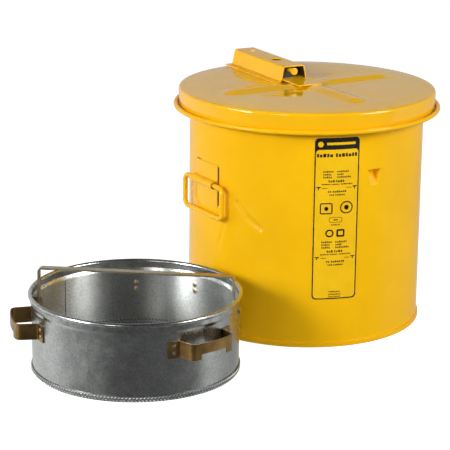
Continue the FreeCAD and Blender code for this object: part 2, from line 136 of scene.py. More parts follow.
def revolve(prof, thetas, centre=(0.0, 0.0), disp=None):
    """Closed section (r, z) turned about a vertical axis; disp(theta, prof) may return new sections."""
    prof = np.asarray(prof, float)
    T, n = len(thetas), len(prof)
    r = np.repeat(prof[None, :, 0], T, 0)
    z = np.repeat(prof[None, :, 1], T, 0)
    if disp is not None:
        r, z = disp(np.asarray(thetas)[:, None], r, z)
    th = np.asarray(thetas)[:, None]
    x = centre[0] + r * np.sin(th)
    y = centre[1] - r * np.cos(th)
    v = np.stack([x, y, z], -1).reshape(-1, 3)
    i = np.arange(T)[:, None] * n
    i2 = ((np.arange(T) + 1) % T)[:, None] * n
    j = np.arange(n)[None, :]
    j2 = (np.arange(n)[None, :] + 1) % n
    f = np.stack([i + j, i2 + j, i2 + j2, i + j2], -1).reshape(-1, 4)
    return v, f


def revolve_pan(prof, T, disp=None):
    """Section whose two ends lie on the axis."""
    prof = np.asarray(prof, float)
    n = len(prof)
    th = np.linspace(0, 2 * np.pi, T, endpoint=False)[:, None]
    r = np.repeat(prof[None, :, 0], T, 0)
    z = np.repeat(prof[None, :, 1], T, 0)
    if disp is not None:
        r, z = disp(th, r, z)
    ring = np.stack([r * np.sin(th), -r * np.cos(th), z], -1)[:, 1:-1]
    m = n - 2
    v = np.concatenate([ring.reshape(-1, 3), [[0, 0, z[0, 0]]], [[0, 0, z[0, -1]]]])
    i = np.arange(T)[:, None] * m
    i2 = ((np.arange(T) + 1) % T)[:, None] * m
    j = np.arange(m - 1)[None, :]
    f = np.stack([i + j, i2 + j, i2 + j + 1, i + j + 1], -1).reshape(-1, 4).tolist()
    a, b = T * m, T * m + 1
    for k in range(T):
        k2 = (k + 1) % T
        f.append([a, k2 * m, k * m])
        f.append([b, k * m + m - 1, k2 * m + m - 1])
    return v, f


def tube(path, r, sides=8, caps=True, closed=False):
    """Round tube along a 3-D path."""
    p = np.asarray(path, float)
    n = len(p)
    if closed:
        t = np.roll(p, -1, 0) - np.roll(p, 1, 0)
    else:
        t = np.gradient(p, axis=0)
    t /= np.linalg.norm(t, axis=1)[:, None]
    up = np.array([0.0, 0.0, 1.0])
    if abs(t[0] @ up) > 0.9:
        up = np.array([1.0, 0.0, 0.0])
    s = np.cross(t, up)
    s /= np.maximum(np.linalg.norm(s, axis=1), 1e-9)[:, None]
    u = np.cross(s, t)
    a = np.linspace(0, 2 * np.pi, sides, endpoint=False)
    rr = np.broadcast_to(np.asarray(r, float), (n,))
    v = p[:, None] + rr[:, None, None] * (s[:, None] * np.cos(a)[None, :, None] + u[:, None] * np.sin(a)[None, :, None])
    v = v.reshape(-1, 3)
    f = []
    m = n if closed else n - 1
    for i in range(m):
        i2 = (i + 1) % n
        for j in range(sides):
            j2 = (j + 1) % sides
            f.append((i * sides + j, i2 * sides + j, i2 * sides + j2, i * sides + j2))
    if caps and not closed:
        f.append(tuple(range(sides)))
        f.append(tuple((n - 1) * sides + k for k in reversed(range(sides))))
    return v, f


def dome(centre, axis, r, h, rings=4, sides=20, skirt=0.0):
    """Low button: a disc with a rounded top and a flat closed back."""
    axis = np.asarray(axis, float)
    axis /= np.linalg.norm(axis)
    up = np.array([0, 0, 1.0]) if abs(axis[2]) < 0.9 else np.array([1.0, 0, 0])
    s = np.cross(up, axis)
    s /= np.linalg.norm(s)
    t = np.cross(axis, s)
    c = np.asarray(centre, float)
    v, f = [], []
    prof = [(r, -skirt)] + [(r * math.cos(a), h * math.sin(a)) for a in np.linspace(0, math.pi / 2, rings + 1)[:-1]]
    a = np.linspace(0, 2 * np.pi, sides, endpoint=False)
    for rr, hh in prof:
        for q in a:
            v.append(c + rr * (s * math.cos(q) + t * math.sin(q)) + axis * hh)
    v.append(c + axis * h)
    for i in range(len(prof) - 1):
        for j in range(sides):
            j2 = (j + 1) % sides
            f.append((i * sides + j, i * sides + j2, (i + 1) * sides + j2, (i + 1) * sides + j))
    top = len(v) - 1
    k = (len(prof) - 1) * sides
    for j in range(sides):
        f.append((k + j, k + (j + 1) % sides, top))
    f.append(tuple(reversed(range(sides))))
    return v, f


def on_label(u, z, r):
    """A place on the tank wall, u millimetres to the right of the label's middle."""
    a = math.radians(LABEL_PHI) + u / BODY_R
    return (r * math.sin(a), -r * math.cos(a), z)


def rrect(u0, u1, z0, z1, rad, nu=14, nz=4, nc=5):
    """Closed loop of (u, z) with the same count whatever its size."""
    pts = []
    def side(a, b, n):
        for k in range(n):
            pts.append((a[0] + (b[0] - a[0]) * k / n, a[1] + (b[1] - a[1]) * k / n))
    def corner(cx, cz, a0):
        for k in range(nc):
            q = math.radians(a0 + 90 * k / nc)
            pts.append((cx + rad * math.cos(q), cz + rad * math.sin(q)))
    side((u0 + rad, z0), (u1 - rad, z0), nu)
    corner(u1 - rad, z0 + rad, -90)
    side((u1, z0 + rad), (u1, z1 - rad), nz)
    corner(u1 - rad, z1 - rad, 0)
    side((u1 - rad, z1), (u0 + rad, z1), nu)
    corner(u0 + rad, z1 - rad, 90)
    side((u0, z1 - rad), (u0, z0 + rad), nz)
    corner(u0 + rad, z0 + rad, 180)
    return pts


def inked_ring(a, b, r0, r1):
    """Thin closed frame between loop a (outside) and loop b (inside) on the label."""
    n = len(a)
    v = [on_label(u, z, r1) for u, z in a] + [on_label(u, z, r1) for u, z in b]
    v += [on_label(u, z, r0) for u, z in a] + [on_label(u, z, r0) for u, z in b]
    f = []
    for i in range(n):
        j = (i + 1) % n
        f.append((i, j, n + j, n + i))
        f.append((2 * n + i, 3 * n + i, 3 * n + j, 2 * n + j))
        f.append((i, 2 * n + i, 2 * n + j, j))
        f.append((n + i, n + j, 3 * n + j, 3 * n + i))
    return v, f


def inked_block(u0, u1, z0, z1, r0, r1):
    """Thin closed block on the label."""
    n = max(1, int((u1 - u0) / 3) + 1)
    us = np.linspace(u0, u1, n + 1)
    v, f = [], []
    for u in us:
        v += [on_label(u, z0, r1), on_label(u, z1, r1), on_label(u, z1, r0), on_label(u, z0, r0)]
    for i in range(n):
        a, b = 4 * i, 4 * i + 4
        f += [(a, b, b + 1, a + 1), (a + 1, b + 1, b + 2, a + 2), (a + 2, b + 2, b + 3, a + 3), (a + 3, b + 3, b, a)]
    f += [(0, 1, 2, 3), (4 * n + 3, 4 * n + 2, 4 * n + 1, 4 * n)]
    return v, f


def inked_disc(cu, cz, rad, r0, r1, n=20, sq=1.0):
    a = np.linspace(0, 2 * np.pi, n, endpoint=False)
    v = [on_label(cu + rad * math.cos(q), cz + rad * math.sin(q) * sq, r1) for q in a]
    v += [on_label(cu + rad * math.cos(q), cz + rad * math.sin(q) * sq, r0) for q in a]
    f = [tuple(range(n)), tuple(reversed(range(n, 2 * n)))]
    for i in range(n):
        j = (i + 1) % n
        f.append((i, n + i, n + j, j))
    return v, f


# ---- node helpers for materials ---------------------------------------------------
class Mat:
    def __init__(self, name):
        self.m = bpy.data.materials.new(name)
        self.m.use_nodes = True
        self.t = self.m.node_tree
        self.b = self.t.nodes["Principled BSDF"]
        tc = self.t.nodes.new("ShaderNodeTexCoord")
        self.co = tc.outputs["Object"]

    def n(self, kind, **kw):
        x = self.t.nodes.new(kind)
        for k, v in kw.items():
            setattr(x, k, v)
        return x

    def link(self, a, b):
        self.t.links.new(a, b)

    def scaled(self, sx, sy, sz, rot=(0, 0, 0), loc=(0, 0, 0)):
        mp = self.n("ShaderNodeMapping")
        mp.inputs["Scale"].default_value = (sx, sy, sz)
        mp.inputs["Rotation"].default_value = rot
        mp.inputs["Location"].default_value = loc
        self.link(self.co, mp.inputs["Vector"])
        return mp.outputs["Vector"]

    def noise(self, scale, detail=3.0, rough=0.5, vec=None, distortion=0.0):
        x = self.n("ShaderNodeTexNoise")
        x.inputs["Scale"].default_value = scale
        x.inputs["Detail"].default_value = detail
        x.inputs["Roughness"].default_value = rough
        x.inputs["Distortion"].default_value = distortion
        self.link(vec if vec is not None else self.co, x.inputs["Vector"])
        return x.outputs["Fac"]

    def ramp(self, fac, stops, interp="LINEAR"):
        x = self.n("ShaderNodeValToRGB")
        x.color_ramp.interpolation = interp
        el = x.color_ramp.elements
        while len(el) < len(stops):
            el.new(0.5)
        for e, (p, c) in zip(el, stops):
            e.position = p
            e.color = (*c, 1.0) if len(c) == 3 else c
        self.link(fac, x.inputs["Fac"])
        return x.outputs["Color"]

    def range(self, fac, a, b, c, d):
        x = self.n("ShaderNodeMapRange")
        for k, v in zip(("From Min", "From Max", "To Min", "To Max"), (a, b, c, d)):
            x.inputs[k].default_value = v
        self.link(fac, x.inputs["Value"])
        return x.outputs["Result"]

    def math(self, op, a, b=None, clamp=False):
        x = self.n("ShaderNodeMath", operation=op, use_clamp=clamp)
        for k, s in enumerate((a, b)):
            if s is None:
                continue
            if isinstance(s, (int, float)):
                x.inputs[k].default_value = s
            else:
                self.link(s, x.inputs[k])
        return x.outputs[0]

    def mix(self, fac, a, b, blend="MIX"):
        x = self.n("ShaderNodeMix", data_type="RGBA", blend_type=blend)
        for s, v in ((x.inputs[0], fac), (x.inputs[6], a), (x.inputs[7], b)):
            if isinstance(v, (int, float)):
                s.default_value = v
            elif isinstance(v, tuple):
                s.default_value = (*v, 1.0)
            else:
                self.link(v, s)
        return x.outputs[2]

    def bump(self, height, strength, distance, after=None):
        x = self.n("ShaderNodeBump")
        x.inputs["Strength"].default_value = strength
        x.inputs["Distance"].default_value = distance
        self.link(height, x.inputs["Height"])
        if after is not None:
            self.link(after, x.inputs["Normal"])
        return x.outputs["Normal"]

    def set(self, **kw):
        for k, v in kw.items():
            s = self.b.inputs[k.replace("_", " ")]
            if isinstance(v, (int, float)):
                s.default_value = v
            elif isinstance(v, tuple):
                s.default_value = (*v, 1.0) if len(v) == 3 and s.type == "RGBA" else v
            else:
                self.link(v, s)
        return self


def enamel(name, tone=1.0, wave=1.0, ior=1.22, gloss=(0.12, 0.20), peel=0.06):
    """Glossy yellow baked enamel on sheet steel: slight colour drift, orange peel, long soft waves in the sheet."""
    m = Mat(name)
    drift = m.noise(9.0, 4.0, 0.55)
    fine = m.noise(55.0, 5.0, 0.6)
    col = m.ramp(drift, [(0.32, (0.900 * tone, 0.478 * tone, 0.0045)), (0.68, (0.955 * tone, 0.528 * tone, 0.0055))])
    cloud = m.ramp(m.noise(30.0, 3.0, 0.6), [(0.35, (0.965, 0.955, 0.95)), (0.65, (1, 1, 1))])
    col = m.mix(0.8, col, cloud, "MULTIPLY")
    rough = m.range(fine, 0.3, 0.7, gloss[0], gloss[1])
    waves = m.bump(m.noise(16.0, 1.5, 0.4), 0.22 * wave, 0.003)
    skin = m.bump(m.noise(420.0, 2.0, 0.5), peel, 0.0003, waves)
    m.set(Base_Color=col, Roughness=rough, Normal=skin)
    m.b.inputs["IOR"].default_value = ior
    return m.m


def galvanised(name, dark=1.0, rough=(0.20, 0.34), fine=420.0, brushed=0.0):
    """Bright zinc coated sheet: fine crystal mottle, dull clouds, faint vertical drawing marks."""
    m = Mat(name)
    grain = m.ramp(m.noise(fine, 3.0, 0.65), [(0.32, (0.40 * dark, 0.415 * dark, 0.405 * dark)), (0.68, (0.60 * dark, 0.62 * dark, 0.61 * dark))])
    patch = m.ramp(m.noise(26.0, 5.0, 0.62), [(0.36, (0.82, 0.82, 0.80)), (0.60, (1.0, 1.0, 1.0))])
    col = m.mix(0.8, grain, patch, "MULTIPLY")
    stain = m.ramp(m.noise(70.0, 5.0, 0.7), [(0.58, (1, 1, 1)), (0.76, (0.72, 0.71, 0.66))])
    col = m.mix(0.8, col, stain, "MULTIPLY")
    rg = m.range(m.noise(60.0, 4.0, 0.6), 0.3, 0.7, rough[0], rough[1])
    n2 = m.bump(m.noise(34.0, 2.0, 0.5), 0.12, 0.0020)
    n3 = m.bump(m.noise(fine * 0.8, 3.0, 0.6), 0.12, 0.0004, n2)
    m.set(Base_Color=col, Roughness=rg, Metallic=1.0, Normal=n3)
    if brushed:
        # rolling marks run round the wall, so highlights stretch up and down
        m.b.inputs["Anisotropic"].default_value = brushed
        m.b.inputs["Anisotropic Rotation"].default_value = 0.25
        tg = m.n("ShaderNodeTangent", direction_type="RADIAL", axis="Z")
        m.link(tg.outputs["Tangent"], m.b.inputs["Tangent"])
    return m.m


def yellow_zinc(name, tones, rough=(0.24, 0.44)):
    """Yellow chromate on zinc: uneven gold, olive and rose, worn in spots."""
    m = Mat(name)
    a = m.noise(30.0, 4.0, 0.6, distortion=0.6)
    col = m.ramp(a, [(0.30, tones[0]), (0.44, tones[1]), (0.54, tones[2]), (0.64, tones[0]), (0.75, tones[3])])
    wear = m.ramp(m.noise(180.0, 4.0, 0.65), [(0.60, (1, 1, 1)), (0.75, (0.66, 0.62, 0.55))])
    col = m.mix(0.8, col, wear, "MULTIPLY")
    rg = m.range(m.noise(70.0, 4.0, 0.6), 0.3, 0.7, rough[0], rough[1])
    nn = m.bump(m.noise(500.0, 3.0, 0.6), 0.14, 0.0004)
    m.set(Base_Color=col, Roughness=rg, Metallic=1.0, Normal=nn)
    return m.m


def plain_metal(name, lo, hi, rough=(0.25, 0.42), scale=150.0, bumpy=0.12):
    m = Mat(name)
    col = m.ramp(m.noise(scale * 0.4, 4.0, 0.6), [(0.3, lo), (0.7, hi)])
    rg = m.range(m.noise(scale, 4.0, 0.6), 0.3, 0.7, rough[0], rough[1])
    nn = m.bump(m.noise(scale * 4, 3.0, 0.6), bumpy, 0.0004)
    m.set(Base_Color=col, Roughness=rg, Metallic=1.0, Normal=nn)
    return m.m


def film(name, lo, hi, rough=(0.16, 0.28), bumpy=0.10):
    m = Mat(name)
    col = m.ramp(m.noise(40.0, 4.0, 0.6), [(0.3, lo), (0.7, hi)])
    rg = m.range(m.noise(90.0, 4.0, 0.6), 0.3, 0.7, rough[0], rough[1])
    nn = m.bump(m.noise(16.0, 1.5, 0.4), 0.30, 0.003, m.bump(m.noise(800.0, 2.0, 0.6), bumpy, 0.0003))
    m.set(Base_Color=col, Roughness=rg, Normal=nn)
    return m.m


M_BODY = enamel("yellow_enamel_body", 1.0, 1.0)
M_LID = enamel("yellow_enamel_lid", 1.0, 0.95, 1.50, (0.035, 0.075), 0.035)
M_YEL = enamel("yellow_enamel_fittings", 1.0, 0.4, 1.32, (0.08, 0.16))
M_GALV = galvanised("galvanised_wall")
M_RIM = galvanised("galvanised_rim", 1.0, (0.20, 0.26), 160.0)
M_INNER = galvanised("galvanised_inner_wall", 1.0, (0.40, 0.50), 420.0, 0.85)
# darker copy of the zinc for the hem ring and the inner crimps: painted shade
M_SHADED_HEM = galvanised("hem_painted_shade", 0.42, (0.40, 0.55), 500.0)
# brighter copy of the zinc for the raised hem crimps: painted highlight
M_LIT_HEM = galvanised("galvanised_hem", 1.15, (0.26, 0.42), 600.0)
M_WIRE = galvanised("galvanised_wire", 0.95, (0.34, 0.5), 600.0)
M_ZINC = yellow_zinc("yellow_zinc_strap", ((0.22, 0.135, 0.05), (0.33, 0.20, 0.065), (0.40, 0.25, 0.09), (0.27, 0.15, 0.06)))
M_BAIL = yellow_zinc("yellow_zinc_bail", ((0.38, 0.36, 0.23), (0.46, 0.41, 0.27), (0.56, 0.46, 0.32), (0.58, 0.43, 0.30)))
M_STEEL = plain_metal("zinc_steel", (0.50, 0.51, 0.52), (0.66, 0.67, 0.68))
M_WELD = plain_metal("weld_steel", (0.20, 0.18, 0.15), (0.42, 0.38, 0.32), (0.4, 0.6), 260.0, 0.3)
M_BRASS = plain_metal("link_brass", (0.60, 0.44, 0.20), (0.76, 0.60, 0.32))
M_SOLDER = plain_metal("solder_grey", (0.40, 0.40, 0.41), (0.56, 0.56, 0.57), (0.40, 0.6), 300.0, 0.3)
M_FILM = film("label_film", (0.88, 0.50, 0.004), (0.95, 0.57, 0.008))
M_INK = film("label_ink", (0.006, 0.006, 0.006), (0.022, 0.020, 0.018), (0.20, 0.34))

M_TINT = yellow_zinc("weld_heat_tint", ((0.50, 0.40, 0.20), (0.62, 0.50, 0.28), (0.66, 0.56, 0.36), (0.44, 0.34, 0.18)))
# dark brown film for the shadow gaps round the handle plates and in the tunnel mouths: painted shadow
M_SHADOW_GAP = film("painted_shadow_gap", (0.090, 0.036, 0.003), (0.140, 0.062, 0.004), (0.5, 0.7))
# near-black film for the shaded inside of the lid channel and its front bracket: painted shade
M_CHANNEL_SHADE = film("painted_shade_channel", (0.030, 0.024, 0.010), (0.055, 0.042, 0.014), (0.45, 0.65))

by_slot = {"yellow_enamel": M_YEL, "galvanised": M_GALV, "yellow_zinc": M_ZINC, "zinc_steel": M_STEEL, "weld_steel": M_WELD,
           "link_brass": M_BRASS, "solder": M_SOLDER, "label_film": M_FILM}
# the front link bracket gets the channel's painted shade
by_node = {"link_front_bracket": M_CHANNEL_SHADE, "tank_bottom": M_BODY, "bottom_seam_ring": M_BODY, "shell_seam_weld": M_BODY, "basket_rim_wire": M_WIRE,
           "basket_bail": M_BAIL, "bail_rivets": M_BAIL}
for name, o in nodes.items():
    mat = by_node.get(name, by_slot[slot_of[name]])
    o.data.materials.clear()
    o.data.materials.append(mat)

# ---- tank wall: rolled sheet with its flange, rim bead and three pressed ledges ------
def ledge_depth(x, z):
    """Depth of a ledge pocket at x mm from its middle and height z, seen from outside."""
    t = np.clip((z - 198.4) / (LEDGE_Z - 198.4), 0, 1)
    t = np.where(z > LEDGE_Z + 0.02, 0, t)
    deep = 13.6 * t
    ho = 5.0 + (9.9 - 5.0) * t
    hi = 3.6 + (5.6 - 3.6) * t
    w = np.clip((ho - np.abs(x)) / (ho - hi), 0, 1)
    return deep * w * w * (3 - 2 * w)


DENTS = [(-66.4, 172.7, -60.6, 156.0, 2.9, 1.70), (-60.6, 156.0, -54.5, 145.9, 3.3, 1.95),
         (-74.8, 139.6, -78.8, 110.9, 2.6, 0.45), (13.2, 153.0, 19.6, 105.7, 3.6, 0.20), (19.6, 105.7, 11.7, 47.4, 4.2, 0.20)]


def dents(th, z):
    """Shallow creases knocked into the wall: depth over angle (radians) and height."""
    a = (th + math.pi) % (2 * math.pi) - math.pi
    d = np.zeros(np.broadcast(a, z).shape)
    for a0, z0, a1, z1, w, deep in DENTS:
        p0 = np.array([math.radians(a0) * BODY_R, z0])
        p1 = np.array([math.radians(a1) * BODY_R, z1])
        e = p1 - p0
        u, q = a * BODY_R - p0[0], z - p0[1]
        t = np.clip((u * e[0] + q * e[1]) / (e @ e), 0, 1)
        dist = np.hypot(u - t * e[0], q - t * e[1])
        d = np.maximum(d, deep * np.exp(-(dist / w) ** 2))
    return d


def ledges(th, r, z, inner=None):
    out = r.copy()
    out = np.where(r < 146, out - dents(th, z), out)
    d = np.zeros_like(r)
    for c in (1.6, 121.6, -118.4):
        x = ((th - math.radians(c) + math.pi) % (2 * math.pi) - math.pi) * BODY_R
        wall = (r < 146) & (z > 190) & (z < 224)
        zz = np.where(r < 144.5, z - 1.25, z)
        d = np.where(wall, np.maximum(d, ledge_depth(x, zz)), d)
    return out - d, z


zo = [1.2, 4, 8] + list(np.arange(16, 190, 1.5)) + [190] + list(np.arange(197.5, 217.01, 0.65)) + [LEDGE_Z, LEDGE_Z + 0.3, 219, 222, 226, 240]
zi = [1.2, 4, 8, 30, 60, 90] + list(np.arange(100, 184, 2.0)) + [190] + list(np.arange(198.0, 218.2, 0.65)) + [LEDGE_Z + 1.25, LEDGE_Z + 1.6, 220, 223, 227, 240]
slope = math.radians(10.0)
end = (BEAD[0] + 2.3 * math.sin(slope), BEAD[1] - 2.3 * math.cos(slope))
mid = rounded([(BODY_R - WALL / 2, 240.0), (BODY_R - WALL / 2, 263.94), end], [0, 4.1, 0], step=8)
mid = np.vstack([mid[1:], arc2(BEAD, 2.3, -80, 200, 34)[1:]])
out_side, in_side = offset(mid, -WALL / 2), offset(mid, WALL / 2)
prof = np.vstack([[(BODY_R, z) for z in sorted(set(zo))], out_side, in_side[::-1],
                  [(BODY_R - WALL, z) for z in sorted(set(zi), reverse=True)]])
th = set(np.round(np.radians(np.arange(0, 360, 1.0)), 6))
th |= set(np.round(np.radians(np.arange(-84, -50, 0.5)) % (2 * math.pi), 6)) | set(np.round(np.radians(np.arange(6, 26, 0.5)), 6))
for c in (1.6, 121.6, 241.6):
    th |= set(np.round(np.radians(c + np.arange(-7.2, 7.21, 0.15)) % (2 * math.pi), 6))
th = np.array(sorted(th))
v, f = revolve(prof, th, disp=ledges)
tank = piece("tank_wall_sheet", v, f, M_BODY, "tank", ["tank_shell"], 28)

# ---- label film and its plain printed marks -----------------------------------------
lr = BODY_R
half_w = 28.3
a = rrect(-half_w, half_w, 59.9, 260.3, 5.4)
cols = np.linspace(-half_w, half_w, 41)
def edge_z(u, lo, hi, rad):
    k = half_w - rad
    s = max(0.0, abs(u) - k)
    q = rad - math.sqrt(max(0.0, rad * rad - s * s))
    return lo + q, hi - q
v, f = [], []
for u in cols:
    z0, z1 = edge_z(u, 59.9, 260.3, 5.4)
    v += [on_label(u, z0, lr + 0.30), on_label(u, z1, lr + 0.30), on_label(u, z1, lr + 0.02), on_label(u, z0, lr + 0.02)]
for i in range(len(cols) - 1):
    p, q = 4 * i, 4 * i + 4
    f += [(p, q, q + 1, p + 1), (p + 1, q + 1, q + 2, p + 2), (p + 2, q + 2, q + 3, p + 3), (p + 3, q + 3, q, p)]
n = 4 * (len(cols) - 1)
f += [(0, 1, 2, 3), (n + 3, n + 2, n + 1, n)]
piece("label_film_sheet", v, f, M_FILM, "tank", ["label_decal"])

R0, R1 = lr + 0.26, lr + 0.345
ink = [inked_ring(rrect(-27.4, 27.4, 60.8, 259.5, 5.0), rrect(-25.9, 25.9, 62.3, 245.4, 4.2), R0, R1)]


def lz(y):
    return 260.3 - (y - 75.0) * 0.14110


def lu(x, y):
    return (x - (322.0 - (y - 75.0) * 0.0190)) * 0.1475


def words(spans, y0, y1, w=0.62, gap=0.34):
    """A line of plain blocks, where the label has a line of print."""
    z1, z0 = lz(y0), lz(y1)
    h = z1 - z0
    y = (y0 + y1) / 2
    for x0, x1 in spans:
        u, e = lu(x0, y), lu(x1, y)
        k = 0
        while u + 0.3 * h < e:
            bw = h * w * (0.8 + 0.45 * ((k * 7) % 5) / 4)
            bw = min(bw, e - u)
            hh = h * (0.78 if k % 3 == 1 else 1.0)
            ink.append(inked_block(u, u + bw, z0, z0 + hh, R0, R1))
            u += bw + h * gap
            k += 1


words([(152, 285), (305, 485)], 214, 245, 0.66, 0.24)
for dy, (xa, xb) in ((0, (0, 0)), (612, (-13, -13))):
    words([(203 + xa, 292 + xa), (318 + xa, 412 + xa)], 362 + dy, 378 + dy)
    words([(203 + xa, 270 + xa), (318 + xa, 372 + xa)], 387 + dy, 402 + dy)
    words([(203 + xa, 280 + xa), (318 + xa, 430 + xa)], 410 + dy, 426 + dy)
    words([(246 + xa, 296 + xa), (308 + xa, 386 + xa)], 443 + dy, 463 + dy)
    words([(192 + xa, 262 + xa), (272 + xa, 340 + xa), (350 + xa, 445 + xa)], 473 + dy, 485 + dy)
    words([(196 + xa, 240 + xa), (396 + xa, 436 + xa)], 508 + dy, 516 + dy)
    words([(242 + xa, 270 + xa), (282 + xa, 394 + xa)], 534 + dy, 552 + dy)
    words([(254 + xa, 290 + xa), (302 + xa, 384 + xa)], 564 + dy, 579 + dy)
    for xt in (146 + xa, 447 + xa):      # level marks at both edges of the label
        y = 512 + dy
        ink.append(inked_block(lu(xt, y), lu(xt + 36, y), lz(y - 4), lz(y - 13), R0, R1))
        ink.append(inked_block(lu(xt + 13, y), lu(xt + 22, y), lz(y + 14), lz(y - 3), R0, R1))
words([(268, 345)], 826, 838)
words([(253, 343)], 1416, 1429)
words([(246, 350)], 1440, 1452)
words([(246, 345)], 1462, 1473)
# plain generic shapes where the label has marks
def framed(x0, x1, y0, y1, rad, t):
    y = (y0 + y1) / 2
    u0, u1, z1, z0 = lu(x0, y), lu(x1, y), lz(y0), lz(y1)
    ink.append(inked_ring(rrect(u0, u1, z0, z1, rad, 4, 3, 4), rrect(u0 + t, u1 - t, z0 + t, z1 - t, max(0.2, rad - t), 4, 3, 4), R0, R1))
framed(176, 280, 640, 738, 2.2, 1.5)
ink.append(inked_disc(lu(228, 690), lz(690), 2.6, R0, R1))
framed(342, 450, 630, 738, 7.2, 1.5)
ink.append(inked_disc(lu(396, 684), lz(684), 3.0, R0, R1))
framed(250, 360, 766, 812, 2.6, 0.55)
ink.append(inked_block(lu(288, 790), lu(324, 790), lz(794), lz(784), R0, R1))
framed(220, 290, 872, 940, 4.6, 1.9)
framed(312, 382, 872, 940, 2.0, 2.2)
v, f = join(ink)
piece("label_print", v, f, M_INK, "tank")
v, f = inked_block(lu(232, 130), lu(470, 130), lz(142), lz(120), R1 - 0.02, R1 + 0.05)
v2, f2 = inked_disc(lu(183, 135), lz(135), 3.4, R1 - 0.02, R1 + 0.05)
v, f = join([(v, f), (v2, f2)])
piece("label_header_bar", v, f, M_FILM, "tank")

# ---- lid pan ------------------------------------------------------------------------
def rib_height(x, y):
    """Raised cross: two long rounded beads."""
    ax = RIB_TIP - RIB_W / 2
    def one(p, q):
        d = np.hypot(np.maximum(np.abs(p) - ax, 0), q)
        s = np.clip((RIB_W / 2 - d) / (RIB_W / 2 - RIB_CREST / 4), 0, 1)
        return RIB_H * (0.72 * s + 0.28 * s * s * (3 - 2 * s))
    tall = 1.0 + 0.34 * np.clip((np.maximum(np.abs(x), -y) - 24.0) / 16.0, 0, 1)
    # the sheet is drawn down a little beside each bead and swells again further out
    def beside(p, q):
        return np.hypot(np.maximum(np.abs(p) - ax, 0), q) - RIB_W / 2
    gap = np.minimum(beside(x, y), beside(y, x))
    clear = np.clip((gap - 1.0) / 5.0, 0, 1) * np.clip((np.hypot(x, y) - 40.0) / 20.0, 0, 1) * np.clip((131.0 - np.hypot(x, y)) / 10.0, 0, 1)
    sag = -0.42 * np.exp(-((gap - 11.0) / 8.0) ** 2) + 0.20 * np.exp(-((gap - 34.0) / 11.0) ** 2)
    sag = sag + 0.16 * np.sin(x / 17.0 + 1.1) * np.cos(y / 23.0 - 0.4)
    return np.maximum(one(x, y), one(y, x)) * tall + sag * clear


cz = LID_TOP - LID_T / 2
mid = rounded([(0.0, cz), (133.0, cz), (152.6, 291.35), (158.5, 290.95), (157.9, SKIRT_Z)], [0, 30, 20, 3.0, 0], step=6)
flat = np.stack([np.arange(0, 131.0, 1.3), np.full(len(np.arange(0, 131.0, 1.3)), cz)], 1)
mid = np.vstack([flat, mid[1:-1], [(158.2, 281.0)], mid[-1:]])
top, under = offset(mid, LID_T / 2), offset(mid, -LID_T / 2)
top[:, 0] = np.maximum(top[:, 0], 0)
under[:, 0] = np.maximum(under[:, 0], 0)
lip = arc2((157.9, SKIRT_Z + 0.1), 0.6, 0, -180, 6)[1:-1]
prof = np.vstack([top, lip, under[::-1]])


def ribs(th, r, z):
    x, y = r * np.sin(th), -r * np.cos(th)
    return r, z + np.where(r < 132, rib_height(x, y), 0)


v, f = revolve_pan(prof, 720, ribs)
piece("lid_pan_sheet", v, f, M_LID, "lid", ["lid_pan"], 40)

# ---- drain basket -------------------------------------------------------------------
bc = BASKET
cb = BK_R - BK_T / 2
mid = rounded([(cb, 2.4), (cb, 78.2), (BK_RIM[0], 82.4), (BK_RIM[0], 88.2)], [0, 3.0, 3.0, 0], step=8)
tail = arc2(BK_RIM[:2], 2.2, -112 + 22, 222, 30)
mid = np.vstack([mid[:-1], [(BK_RIM[0] - 0.05, 87.2)], tail])
out_side, in_side = offset(mid, -BK_T / 2), offset(mid, BK_T / 2)
prof = np.vstack([out_side, in_side[::-1]])
v, f = revolve(prof, np.linspace(0, 2 * np.pi, 720, endpoint=False), bc)
wall = piece("basket_wall_sheet", v, f, M_GALV, "basket", ["basket_shell"], 40)
wall.data.materials.append(M_INNER)
wall.data.materials.append(M_RIM)
cols = len(prof)
inner_from = len(out_side) + np.argmin(np.abs(in_side[::-1][:, 1] - 78.5))
for k, poly in enumerate(wall.data.polygons):
    if inner_from <= k % cols < cols - 1:
        poly.material_index = 1
    if min(prof[k % cols][1], prof[(k + 1) % cols][1]) > 81.0:
        poly.material_index = 2

# crimped hem: a rolled ring in the darker zinc copy (painted shade) with two rows of slanted crimps in the brighter
# copy (painted highlight), like a twisted rope
sec = rounded([(116.4, 0.35), (121.9, 0.35), (121.9, 7.3), (120.85, 7.3), (120.85, 2.3), (116.4, 2.3)], [0.7, 1.5, 0.6, 0.1, 0.1, 0.7], True, step=22)
v, f = revolve(sec, np.linspace(0, 2 * np.pi, 360, endpoint=False), bc)
piece("basket_crimped_hem", v, f, M_SHADED_HEM, "basket", ["basket_hem_ring"], 55)

